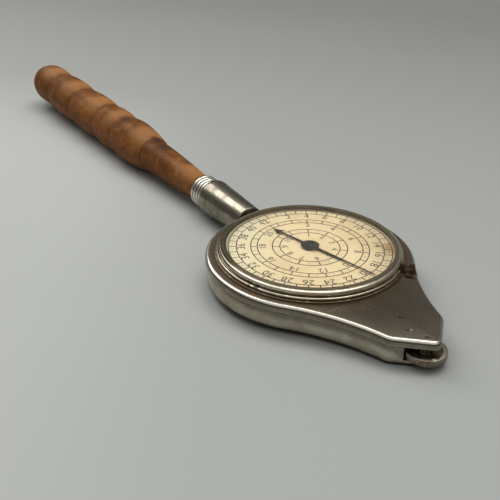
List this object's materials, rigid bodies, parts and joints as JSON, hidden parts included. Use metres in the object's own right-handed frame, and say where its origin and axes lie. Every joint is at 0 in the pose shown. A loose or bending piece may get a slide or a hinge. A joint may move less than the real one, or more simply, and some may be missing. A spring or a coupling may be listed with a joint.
{
  "type": "opisometer",
  "caption": "Map measurer: a milled wheel at the nose of a flat round case drives a hand over a glazed dial through gears, held by a turned beaded wooden handle.",
  "frame": {"origin": "centre of the flat back of the case, on the axis of the hand", "axes": "+X along the object towards the nose and its measuring wheel, the handle towards -X; +Z along the hand's axis, out of the dial"},
  "size_m": [0.1738, 0.0372, 0.0115],
  "materials": {
    "nickel": "worn nickel plate on brass, satin with rubbed edges",
    "brass": "plain machined",
    "steel": "turned, slightly dark",
    "black_steel": "blackened, half matte",
    "card": "aged cream card, matte",
    "glass": "flat clear glass",
    "wood": "brown polished hardwood, darker in the grooves"
  },
  "bodies": {
    "case": {"case_back": "nickel", "case_cover": "nickel", "bezel": "nickel", "glass": "glass", "glass_ring": "brass", "dial_collar": "nickel", "dial_card": "card", "dial_plate": "brass", "dial_feet": "brass", "movement_plate": "brass", "pillars": "brass", "plate_screws": "steel", "back_bushes": "brass", "handle_stud": "steel", "stud_collar": "steel", "ferrule": "nickel", "handle": "wood"},
    "hand_group": {"centre_arbor": "steel", "centre_gear": "brass", "hand": "black_steel", "hand_cap": "black_steel"},
    "second_group": {"second_arbor": "steel", "second_gear": "brass", "second_pinion": "steel"},
    "idler_group": {"idler_arbor": "steel", "idler_gear": "brass"},
    "wheel_group": {"wheel_arbor": "steel", "wheel_pinion": "steel", "measuring_wheel": "steel"}
  },
  "joints": [
    {"name": "hand_spin", "type": "hinge", "parent": "case", "child": "hand_group", "pos_m": [0, 0, 0.003], "axis": [0, 0, 1], "continuous": true},
    {"name": "second_spin", "type": "hinge", "parent": "case", "child": "second_group", "pos_m": [0.01512, 0, 0.003], "axis": [0, 0, 1], "continuous": true},
    {"name": "idler_spin", "type": "hinge", "parent": "case", "child": "idler_group", "pos_m": [0.02352, 0, 0.003], "axis": [0, 0, 1], "continuous": true},
    {"name": "wheel_spin", "type": "hinge", "parent": "case", "child": "wheel_group", "pos_m": [0.02952, 0, 0.003], "axis": [0, 0, 1], "continuous": true}
  ],
  "couplings": [
    {"joint": "second_spin", "follows": "hand_spin", "ratio": -5},
    {"joint": "idler_spin", "follows": "hand_spin", "ratio": 4.3333},
    {"joint": "wheel_spin", "follows": "hand_spin", "ratio": -13}
  ]
}
